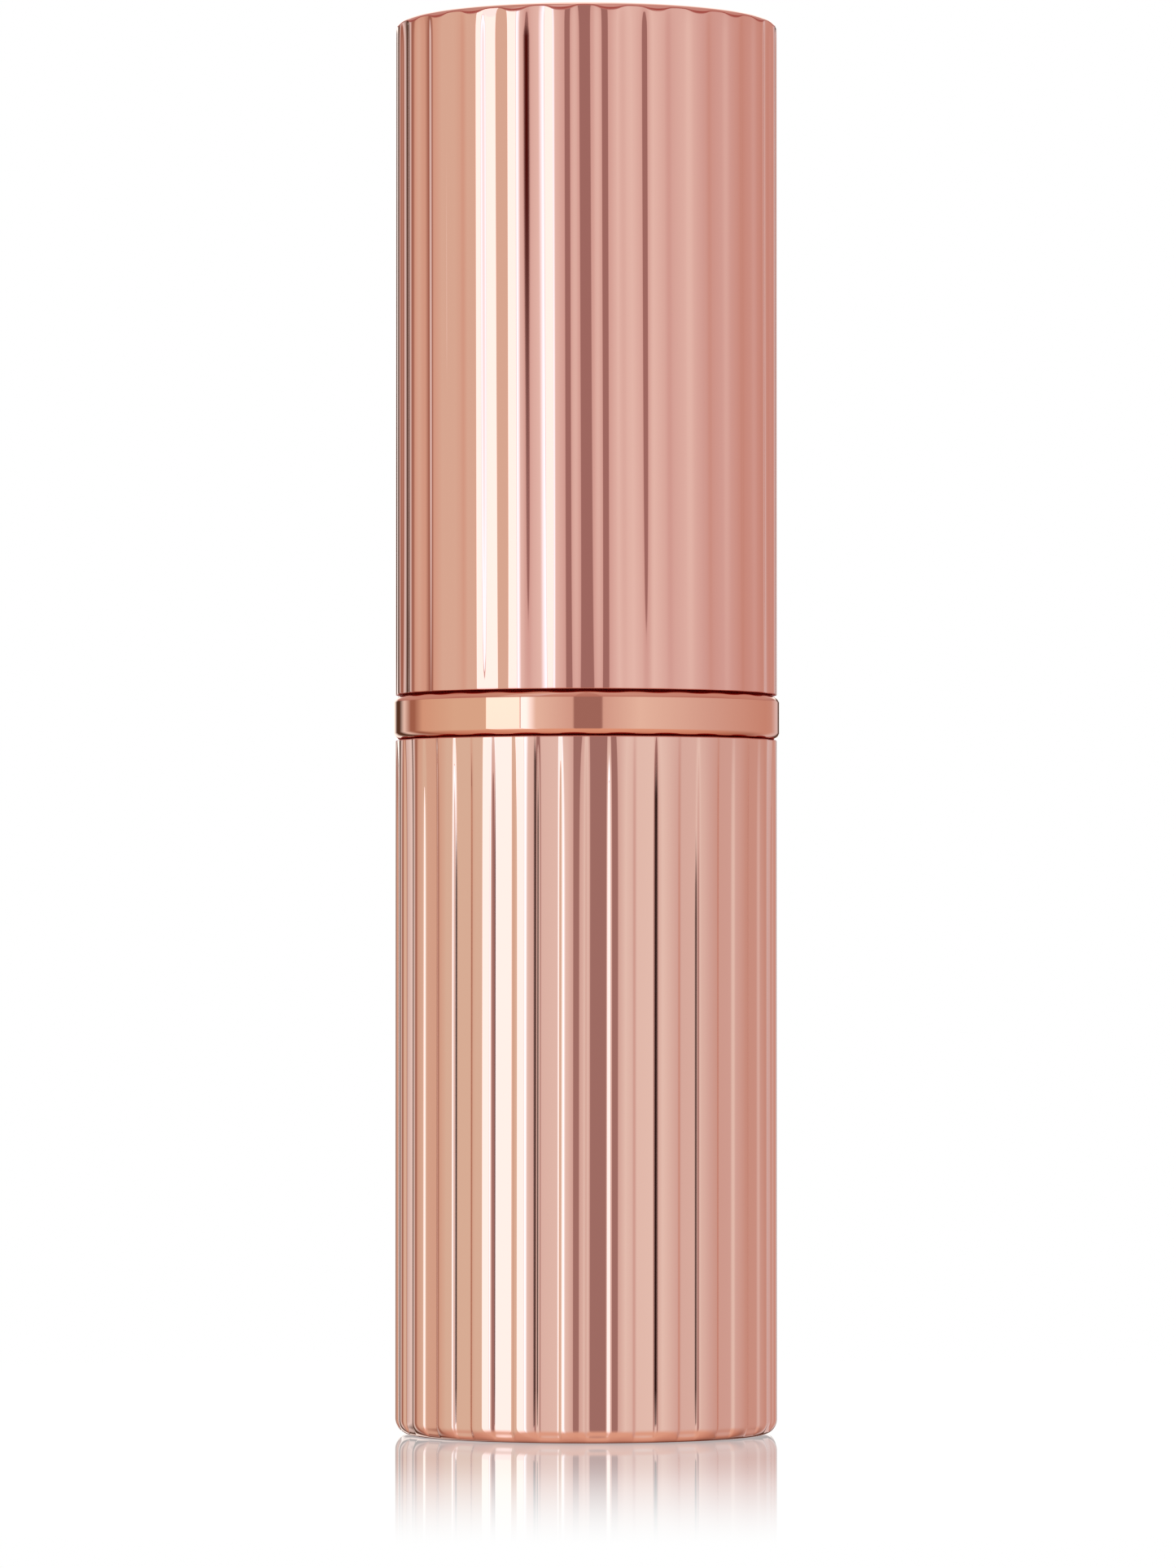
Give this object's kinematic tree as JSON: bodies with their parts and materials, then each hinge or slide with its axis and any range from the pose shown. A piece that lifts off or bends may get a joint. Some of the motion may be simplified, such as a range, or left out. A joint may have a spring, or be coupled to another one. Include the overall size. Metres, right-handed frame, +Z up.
{
  "type": "lipstick case",
  "caption": "Round twist-up lipstick case with a vertically fluted cap and base, a smooth ring between them, and a bullet that a cam sleeve raises.",
  "frame": {"origin": "centre of the foot, on the surface that the case stands on", "axes": "+Z up along the case's axis, through the cap; -Y towards the viewer; +X to the viewer's right"},
  "size_m": [0.0212, 0.0212, 0.0775],
  "materials": {
    "rose_gold_shell": "mirror-polished and anodised rose gold",
    "rose_gold_ring": "mirror-polished rose gold",
    "bright_tube": "bright drawn tube, rose gold",
    "weight_steel": "zinc-plated, turned",
    "white_liner": "moulded, semi-gloss",
    "slip_plastic": "moulded low-friction plastic",
    "carrier_plastic": "moulded, semi-gloss",
    "silicone_ring": "translucent silicone",
    "lipstick_wax": "satin pressed colour stick",
    "label_paper": "blank film label"
  },
  "bodies": {
    "base": {"base_shell": "rose_gold_shell", "base_label": "label_paper", "base_weight": "weight_steel", "base_liner": "white_liner", "slotted_tube": "slip_plastic", "brake_ring": "silicone_ring"},
    "sleeve": {"sleeve_tube": "bright_tube", "cam_sleeve": "slip_plastic", "collar_ring": "rose_gold_ring", "collar_core": "white_liner"},
    "carrier": {"carrier_cup": "carrier_plastic", "lipstick_bullet": "lipstick_wax"},
    "cap": {"cap_shell": "rose_gold_shell", "cap_liner": "white_liner"}
  },
  "joints": [
    {"name": "sleeve_twist", "type": "hinge", "parent": "base", "child": "sleeve", "pos_m": [0, 0, 0.03], "axis": [0, 0, -1], "range_deg": [0, 540]},
    {"name": "carrier_lift", "type": "slide", "parent": "base", "child": "carrier", "axis": [0, 0, 1], "range_m": [0, 0.0203]},
    {"name": "cap_lift", "type": "slide", "parent": "sleeve", "child": "cap", "axis": [0, 0, 1], "range_m": [0, 0.045]}
  ],
  "couplings": [
    {"joint": "carrier_lift", "follows": "sleeve_twist", "m_per_rad": 0.0021539}
  ]
}
